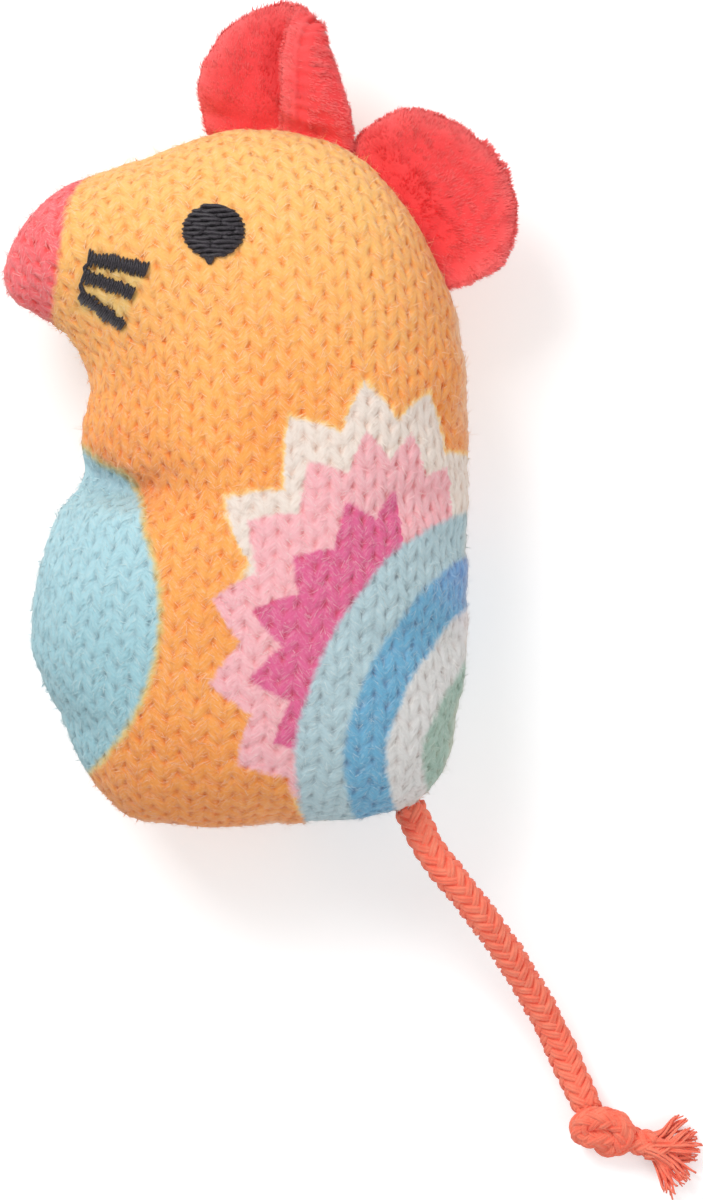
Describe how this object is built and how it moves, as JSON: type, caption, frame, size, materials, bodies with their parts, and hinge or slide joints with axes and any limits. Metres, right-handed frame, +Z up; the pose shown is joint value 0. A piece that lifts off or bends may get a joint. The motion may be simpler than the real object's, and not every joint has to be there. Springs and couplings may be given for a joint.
{
  "type": "catnip mouse",
  "caption": "Stuffed knit mouse for cats, lying on its side, with a stitched face, floppy plush ears and a braided cord tail that ends in a knot and a frayed tuft.",
  "frame": {"origin": "on the table, on the resting flat under the fullest part of the body", "axes": "+Z up, out of the mouse's left side; +Y towards its crown; +X towards its back"},
  "size_m": [0.0787, 0.1355, 0.0335],
  "materials": {
    "printed_knit": "brushed interlock knit with a printed sunburst",
    "fibre_fill": "loose polyester fibre",
    "catnip": "dried leaf",
    "backing_web": "non-woven",
    "black_thread": "satin stitch",
    "coral_plush": "short pile",
    "orange_thread": "twisted",
    "coral_cord": "braided"
  },
  "bodies": {
    "body": {"left_panel": "printed_knit", "right_panel": "printed_knit", "left_fill": "fibre_fill", "right_fill": "fibre_fill", "catnip_wad": "catnip", "left_backing": "backing_web", "right_backing": "backing_web", "left_eye": "black_thread", "right_eye": "black_thread", "left_whisker_upper": "black_thread", "left_whisker_middle": "black_thread", "left_whisker_lower": "black_thread", "right_whisker_upper": "black_thread", "right_whisker_middle": "black_thread", "right_whisker_lower": "black_thread", "seam_thread": "orange_thread", "closing_thread": "orange_thread", "tail_anchor": "coral_cord"},
    "front_ear": {"front_ear_face": "coral_plush", "front_ear_back": "coral_plush"},
    "rear_ear": {"rear_ear_face": "coral_plush", "rear_ear_back": "coral_plush"},
    "tail": {"tail_cord": "coral_cord", "tail_knot": "coral_cord", "tail_tuft": "coral_cord"}
  },
  "joints": [
    {"name": "front_ear_fold", "type": "hinge", "parent": "body", "child": "front_ear", "pos_m": [0.00194, 0.04538, 0.0165], "axis": [0.9859, -0.1674, 0], "range_deg": [-45, 45], "stiffness_Nm_per_rad": 0.001},
    {"name": "rear_ear_fold", "type": "hinge", "parent": "body", "child": "rear_ear", "pos_m": [0.01674, 0.03556, 0.0165], "axis": [0.5794, -0.815, 0], "range_deg": [-45, 45], "stiffness_Nm_per_rad": 0.001},
    {"name": "tail_swing", "type": "hinge", "parent": "body", "child": "tail", "pos_m": [0.01767, -0.03531, 0.0165], "axis": [0, 0, 1], "range_deg": [-80, 80]}
  ]
}
